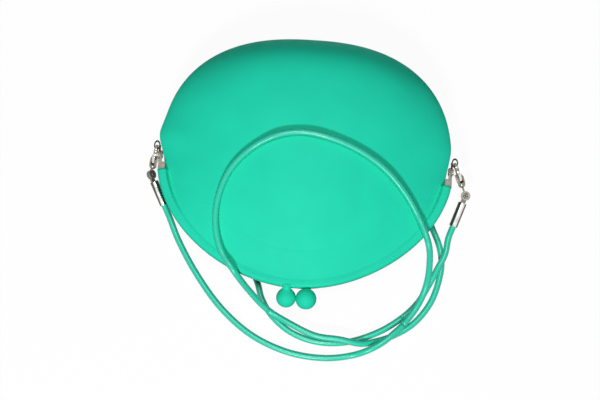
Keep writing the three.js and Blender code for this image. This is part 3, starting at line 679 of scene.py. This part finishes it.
def soft_crown(x, y, inset, side):
    """The crown at a place, evened out in the middle, where its front and back profiles meet.

    The top wall has a side over 0, and the bottom wall a side under 0.
    """
    far_fullness = TOP_FAR_FULLNESS if side > 0 else BOTTOM_FAR_FULLNESS
    share = np.hypot(x, y) / (bag_radius(np.arctan2(y, x)) - inset)
    spread = DOME_SOFTNESS * smoothstep(1.0 - share, *DOME_SOFT_SHARES)
    total = np.zeros_like(share)
    for ring in DOME_RINGS:
        for turn in full_turn(DOME_SAMPLES):
            u = x + ring * spread * math.cos(turn)
            v = y + ring * spread * math.sin(turn)
            angle = np.arctan2(v, u)
            total += crown(np.hypot(u, v) / (bag_radius(angle) - inset), angle, far_fullness)
    return total / (len(DOME_RINGS) * DOME_SAMPLES)


def wall_rise(places, side):
    """How far the outer skin stands over the mouth plane, or under it for side -1."""
    x = places[..., 0] - OUTLINE_LEAN * np.minimum(places[..., 1], 0.0)
    height = TOP_CROWN if side > 0 else BOTTOM_CROWN
    most = TOP_CROWN if side > 0 else MOUTH_HEIGHT
    return np.minimum(height * soft_crown(x, places[..., 1], 0.0, side), most)


def bag_sheet(height, inset):
    """Rows of points from near the middle to the rim, on one side of the mouth plane.

    The bottom is flat: the outer skin lies on the table and the inner one a wall above it.
    """
    angles = full_turn(BAG_COLUMNS)
    radius = bag_radius(angles) - inset
    # Rows lie closer together towards the rim, where the wall turns most.
    shares = np.sin(0.5 * math.pi * (np.arange(1, BAG_ROWS + 1) / BAG_ROWS))
    rows = []
    for share in shares:
        row = outline(radius * share, angles)
        rise = soft_crown(radius * share * np.cos(angles), radius * share * np.sin(angles), inset, height)
        row[:, 2] = np.maximum(MOUTH_HEIGHT + height * rise, inset)
        rows.append(row)
    return rows


def add_wall(points, faces, height, inset, mouth, top_rows):
    """Adds one skin of one wall, and gives the vertex numbers of its rows.

    Behind the mouth, the bottom wall shares the last row of the top wall.
    """
    rows = bag_sheet(height, inset)
    rows[-1][:, 2] += np.where(mouth, math.copysign(MOUTH_GAP / 2, height), 0.0)
    numbers = []
    for row in rows[:-1]:
        numbers.append(list(range(len(points), len(points) + BAG_COLUMNS)))
        points += list(row)
    rim = []
    for column in range(BAG_COLUMNS):
        if top_rows and not mouth[column]:
            rim.append(top_rows[-1][column])
            continue
        rim.append(len(points))
        points.append(rows[-1][column])
    numbers.append(rim)
    pole = len(points)
    middle = float(soft_crown(np.zeros(1), np.zeros(1), inset, height)[0])
    points.append(np.array([0.0, 0.0, max(inset, MOUTH_HEIGHT + height * middle)]))
    faces += [(pole, a, b) for a, b in zip(numbers[0], numbers[0][1:] + numbers[0][:1])]
    for before, after in zip(numbers, numbers[1:]):
        faces += strip(before, after)
    return numbers


def bag_mesh():
    """A pouch with an inner and an outer skin, joined along the two lips of its mouth."""
    angles = full_turn(BAG_COLUMNS)
    mouth = bag_radius(angles) * np.sin(angles) < -MOUTH_CORNER
    walls = {}
    points = []
    faces = []
    for skin, inset in (("outer", 0.0), ("inner", WALL)):
        top = add_wall(points, faces, TOP_CROWN - inset, inset, mouth, None)
        walls[skin, "top"] = top
        walls[skin, "bottom"] = add_wall(points, faces, inset - BOTTOM_CROWN, inset, mouth, top)
    for wall in ("top", "bottom"):
        outer = walls["outer", wall][-1]
        inner = walls["inner", wall][-1]
        for i in range(BAG_COLUMNS):
            j = (i + 1) % BAG_COLUMNS
            if mouth[i] or mouth[j]:
                faces.append((outer[i], outer[j], inner[j], inner[i]))
    folding = np.zeros(len(points), bool)
    for skin in ("outer", "inner"):
        numbers = np.array(walls[skin, "top"])
        folding[numbers] = True
        folding[numbers[-1][~mouth]] = False
    return np.array(points), faces, folding


def add_bag():
    points, faces, folding = bag_mesh()
    piece = mesh_piece("bag_skin", points, faces, BAG_SILICONE)
    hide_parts("back_shell", "front_wall")
    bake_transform(piece)
    placed = np.array([v.co for v in piece.data.vertices]) / MM
    fold_weight(placed) * folding


add_bag()


# Rim sleeves

def rim_frames(end, steps):
    """Places along the front of the rim, each with its outward direction, and their angles."""
    skip = math.asin(end / RIM_HALF_WIDTH)
    angles = np.linspace(math.pi + skip, 2 * math.pi - skip, steps + 1)
    nudge = 0.001
    ahead = outline(rim_radius(angles + nudge, 0.0), angles + nudge)
    along = ahead - outline(rim_radius(angles - nudge, 0.0), angles - nudge)
    out = np.stack([along[:, 1], -along[:, 0], np.zeros(steps + 1)], axis=1)
    return outline(rim_radius(angles, 0.0), angles), out / np.linalg.norm(out, axis=1)[:, None], angles


def quarter_round(offset, height, radius, start):
    """A quarter round about a place in the section, from a starting direction in degrees."""
    turns = np.radians(start + 90.0 * np.arange(ROUNDING_STEPS + 1) / ROUNDING_STEPS)
    return [(offset + radius * c, height + radius * s) for c, s in zip(np.cos(turns), np.sin(turns))]


def sleeve_section(place, out, angle, side):
    """Pairs of outward offset and height over the mouth plane: a bead, a crease and a skirt up the wall."""
    lip = MOUTH_GAP / 2
    top = lip + SLEEVE_HEIGHT
    aside = math.cos(angle) ** SIDE_SHARPNESS
    bead = between(FRONT_BEAD, SIDE_BEAD, aside)
    crease = between(FRONT_CREASE, SIDE_CREASE, aside)
    half_width = between(FRONT_CREASE_HALF_WIDTH, SIDE_CREASE_HALF_WIDTH, aside)
    skirt = np.linspace(-SLEEVE_TOP_ROUNDING, -SKIRT_END, SKIRT_STEPS)[1:]
    wall = wall_rise(place + out * skirt[:, None], side)
    step = smoothstep(-skirt, bead - half_width, bead + half_width)
    shelf = top - crease * step + SHELF_SLOPE * np.maximum(0.0, -skirt - bead)
    heights = soft_max(shelf, wall, CREASE_SOFTNESS)
    heights -= SKIRT_TUCK * smoothstep(-skirt, SKIRT_END - SKIRT_TUCK_LENGTH, SKIRT_END)
    # Towards the hinges the skirt sinks into the wall, and only the bead runs on.
    kept = smoothstep(-place[1], SLEEVE_END, SLEEVE_END + SKIRT_FADE)
    sunk = np.minimum(heights, wall - SKIRT_TUCK)
    heights -= (heights - sunk) * step * (1.0 - kept)
    # The underside lies in the middle of the wall, and under the skirt's own surface.
    inside = np.linspace(-UNDERSIDE_START, -SLEEVE_WIDTH, UNDERSIDE_STEPS)
    under = wall_rise(place + out * inside[:, None], side) - 0.5 * WALL
    highest = np.interp(-inside, -skirt, heights) - SKIRT_THICKNESS
    under = np.maximum(lip - UNDERSIDE_DROP, np.minimum(under, highest))
    under[-1] = lip
    return (
        quarter_round(-SLEEVE_LIP_ROUNDING, lip + SLEEVE_LIP_ROUNDING, SLEEVE_LIP_ROUNDING, -90.0)
        + quarter_round(-SLEEVE_TOP_ROUNDING, top - SLEEVE_TOP_ROUNDING, SLEEVE_TOP_ROUNDING, 0.0)
        + list(zip(skirt, heights))
        + list(zip(inside, under))
    )


def add_sleeve(name, side):
    rings = []
    offsets = []
    for place, out, angle in zip(*rim_frames(SLEEVE_END, SLEEVE_STEPS)):
        section = sleeve_section(place, out, angle, side)
        rings.append([place + out * o + np.array((0.0, 0.0, MOUTH_HEIGHT + side * h)) for o, h in section])
        offsets += [o for o, _ in section]
    points, faces = skin_over(rings)
    piece = mesh_piece(name, points, faces, BAG_SILICONE)
    if side < 0:
        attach(piece, "bag")
        return
    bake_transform(piece)
    folding = fold_weight(points)


add_sleeve("upper_sleeve", 1)
add_sleeve("lower_sleeve", -1)


# Kiss-lock balls, each on a moulded neck that flows out of its sleeve

def add_ball(ball):
    angle = np.array(1.5 * math.pi + math.asin(ball["along"] / RIM_REACH))
    rim = outline(rim_radius(angle, 0.0), angle)
    level = MOUTH_HEIGHT + ball["side"] * (MOUTH_GAP + SLEEVE_HEIGHT) / 2
    foot = rim + (0.0, NECK_DEPTH, level)
    middle = rim + (0.0, -ball["out"], MOUTH_HEIGHT - ball["side"] * BALL_OFFSET)
    length = np.linalg.norm(middle - foot)
    way = (middle - foot) / length
    across = np.array((1.0, 0.0, 0.0))
    radius = ball["radius"]
    along = np.linspace(0.0, length, NECK_RINGS)
    neck = NECK_RADIUS + NECK_FLARE * np.maximum(0.0, 1.0 - along / NECK_FLARE_LENGTH) ** 2
    sphere = np.sqrt(np.maximum(0.0, radius**2 - (along - length) ** 2))
    profile = list(zip(along, soft_max(neck, sphere, NECK_SOFTNESS)))
    past = np.radians(np.linspace(0.0, BALL_CAP_TURN, BALL_CAP_RINGS))[1:]
    profile += list(zip(length + radius * np.sin(past), radius * np.cos(past)))
    turns = full_turn(BALL_SIDES)
    around = np.outer(np.cos(turns), across) + np.outer(np.sin(turns), np.cross(way, across))
    points, faces = skin_over([foot + way * d + r * around for d, r in profile])
    piece = mesh_piece(ball["node"].replace("ball", "clasp_ball"), points, faces, BAG_SILICONE)
    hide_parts(ball["node"])
    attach(piece, BODY_OF[ball["node"]])


add_ball(FRONT_BALL)
add_ball(BACK_BALL)


# Hardware: each solid again with broken edges

def dressed(node, materials, pick=None, edge=EDGE_BREAK, edge_material=0):
    """A copy of a solid; pick chooses the material of each face from its middle, in millimetres."""
    mesh = frame["nodes"][node].data.copy()
    mesh.name = node + "_finished"
    bm = bmesh.new()
    bm.from_mesh(mesh)
    bmesh.ops.remove_doubles(bm, verts=bm.verts, dist=MERGE_DISTANCE * MM)
    for face in bm.faces:
        face.material_index = pick(np.array(face.calc_center_median()) / MM) if pick else 0
    turn = math.radians(SHARP_ANGLE)
    sharp = [e for e in bm.edges if len(e.link_faces) == 2 and e.calc_face_angle() > turn]
    broken = bmesh.ops.bevel(
        bm,
        geom=sharp,
        offset=edge * MM,
        segments=EDGE_SEGMENTS,
        profile=EDGE_PROFILE,
        affect="EDGES",
        clamp_overlap=True,
    )
    # The broken edges may take a material of their own, which the hook uses for painted shade.
    if edge_material:
        for face in broken["faces"]:
            face.material_index = edge_material
    for face in bm.faces:
        face.smooth = True
    # The materials come before the faces, because clearing them resets each face's choice.
    mesh.materials.clear()
    for material in materials:
        mesh.materials.append(material)
    bm.to_mesh(mesh)
    bm.free()
    piece = bpy.data.objects.new(node + "_finished", mesh)
    bpy.context.collection.objects.link(piece)
    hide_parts(node)
    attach(piece, BODY_OF[node])


def add_ferrule(side):
    """Polished above and below, with knurled flanks that are dark as painted dark reflection along the
    sides, and a satin eye.
    """
    start, way, _, _ = swivel_frame(side)
    across = np.cross(way, (0.0, 0.0, 1.0))
    across /= np.linalg.norm(across)
    flank = math.sin(math.radians(POLISHED_HALF_ANGLE))

    def pick(middle):
        along = (middle - start).dot(way)
        radial = middle - start - way * along
        reach = np.linalg.norm(radial)
        if along < FERRULE_START or reach < CORD_DIAMETER / 2:
            return 0
        # Faces turned to the sides get the dark flank material: painted dark reflection.
        return 2 if abs(radial.dot(across)) > flank * reach else 1

    knurl_and_edge_shade = knurled_metal_with_painted_shade(side + "_knurl", KNURL_AND_EDGE_SHADE_COLOUR, KNURL_ROUGHNESS, way)
    dressed(side + "_ferrule", [SATIN, POLISHED, knurl_and_edge_shade], pick)


def add_swivel_rivet(side):
    """A rivet whose head top is dark as painted shade, seen in the cross slot between four pads."""
    at, way, axis, across = swivel_frame(side)
    pad_foot = RIVET_TOP - PAD_SINK

    # The head's top, seen only in the slot, is dark: painted shade.
    def pick(middle):
        return 1 if (middle - at).dot(axis) > pad_foot else 0

    dressed(side + "_swivel_rivet", [SATIN, PAINTED_SHADE_METAL], pick)
    edge = math.asin(0.5 * CROSS_SLOT / CROSS_RADIUS)
    arc = np.linspace(edge, 0.5 * math.pi - edge, PAD_ARC_POINTS)
    pad = [(0.5 * CROSS_SLOT, 0.5 * CROSS_SLOT)]
    pad += [(CROSS_RADIUS * math.cos(t), CROSS_RADIUS * math.sin(t)) for t in arc]
    count = len(pad)
    points = []
    faces = []
    for turn in full_turn(4):
        c, s = math.cos(turn), math.sin(turn)
        first = len(points)
        for height in (pad_foot, RIVET_TOP + CROSS_HEIGHT):
            for u, v in pad:
                points.append(at + across * (c * u - s * v) + way * (s * u + c * v) + axis * height)
        low = list(range(first, first + count))
        high = list(range(first + count, first + 2 * count))
        faces += strip(low, high) + [tuple(low), tuple(high)]
    piece = mesh_piece(side + "_cross_pads", points, faces, SATIN)
    for polygon in piece.data.polygons:
        polygon.use_smooth = False
    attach(piece, BODY_OF[side + "_swivel_rivet"])


def add_hook(side):
    """A plated hook whose broken edges are dark as painted shade, and a satin disc about its swivel."""
    at, _, axis, _ = swivel_frame(side)

    def pick(middle):
        off = middle - at
        return 2 if np.linalg.norm(off - axis * off.dot(axis)) < HOOK_DISC_RADIUS else 0

    dressed(side + "_hook", [PLATING, PAINTED_SHADE_METAL, SATIN], pick, edge=HOOK_EDGE_BREAK, edge_material=1)


def add_hardware():
    # The back frame's eyes, behind EYE_FROM, get the near black metal: painted shade and dark reflection.
    dressed("back_frame", [SATIN, PAINTED_SHADE_METAL], lambda middle: int(middle[1] > EYE_FROM))
    dressed("front_frame", [SATIN])
    for side in ("left", "right"):
        add_ferrule(side)
        add_swivel_rivet(side)
        add_hook(side)
        dressed(side + "_gate", [POLISHED])
        for kind in ("hinge_rivet", "gate_pin", "gate_spring"):
            dressed(side + "_" + kind, [PLATING])


add_hardware()


# Floor and light

def seen_rays(tree):
    """1 for rays that show the surroundings: to the camera, in a reflection or through glass."""
    path = tree.nodes.new("ShaderNodeLightPath")
    total = path.outputs["Is Camera Ray"]
    for kind in ("Is Glossy Ray", "Is Transmission Ray"):
        add = tree.nodes.new("ShaderNodeMath")
        add.operation = "ADD"
        add.use_clamp = True
        tree.links.new(total, add.inputs[0])
        tree.links.new(path.outputs[kind], add.inputs[1])
        total = add.outputs["Value"]
    return total


def add_floor():
    bpy.ops.mesh.primitive_plane_add(size=FLOOR_SIZE, location=(0, 0, 0))
    floor = bpy.context.object
    floor.name = "floor"
    material, tree, shader = new_material("floor_white")
    seen = seen_rays(tree)
    colour = scaled(tree, seen, FLOOR_COLOUR - FLOOR_BOUNCE, FLOOR_BOUNCE)
    tree.links.new(colour, shader.inputs["Base Color"])
    shader.inputs["Roughness"].default_value = FLOOR_ROUGHNESS
    shader.inputs["Specular IOR Level"].default_value = 0.0
    white = tree.nodes.new("ShaderNodeEmission")
    white.inputs["Color"].default_value = WHITE
    mix = tree.nodes.new("ShaderNodeMixShader")
    tree.links.new(scaled(tree, seen, FLOOR_WHITENESS), mix.inputs["Fac"])
    tree.links.new(shader.outputs["BSDF"], mix.inputs[1])
    tree.links.new(white.outputs["Emission"], mix.inputs[2])
    tree.links.new(mix.outputs["Shader"], tree.nodes["Material Output"].inputs["Surface"])
    floor.data.materials.append(material)


def add_area(name, location, size, power):
    light = bpy.data.lights.new(name, "AREA")
    light.energy = power
    light.size = size
    lamp = bpy.data.objects.new(name, light)
    lamp.location = location
    aim = Vector(LAMP_TARGET) - Vector(location)
    lamp.rotation_euler = aim.to_track_quat("-Z", "Y").to_euler()
    bpy.context.collection.objects.link(lamp)


def add_light():
    add_area("key_lamp", KEY_PLACE, KEY_SIZE, KEY_POWER)
    add_area("low_lamp", LOW_PLACE, LOW_SIZE, LOW_POWER)
    world = bpy.data.worlds.new("studio")
    world.use_nodes = True
    tree = world.node_tree
    background = tree.nodes["Background"]
    background.inputs["Color"].default_value = WHITE
    strength = scaled(tree, seen_rays(tree), 1.0 - WORLD_LIGHT, WORLD_LIGHT)
    tree.links.new(strength, background.inputs["Strength"])
    bpy.context.scene.world = world


add_floor()
add_light()
bpy.context.scene.view_settings.view_transform = "Standard"
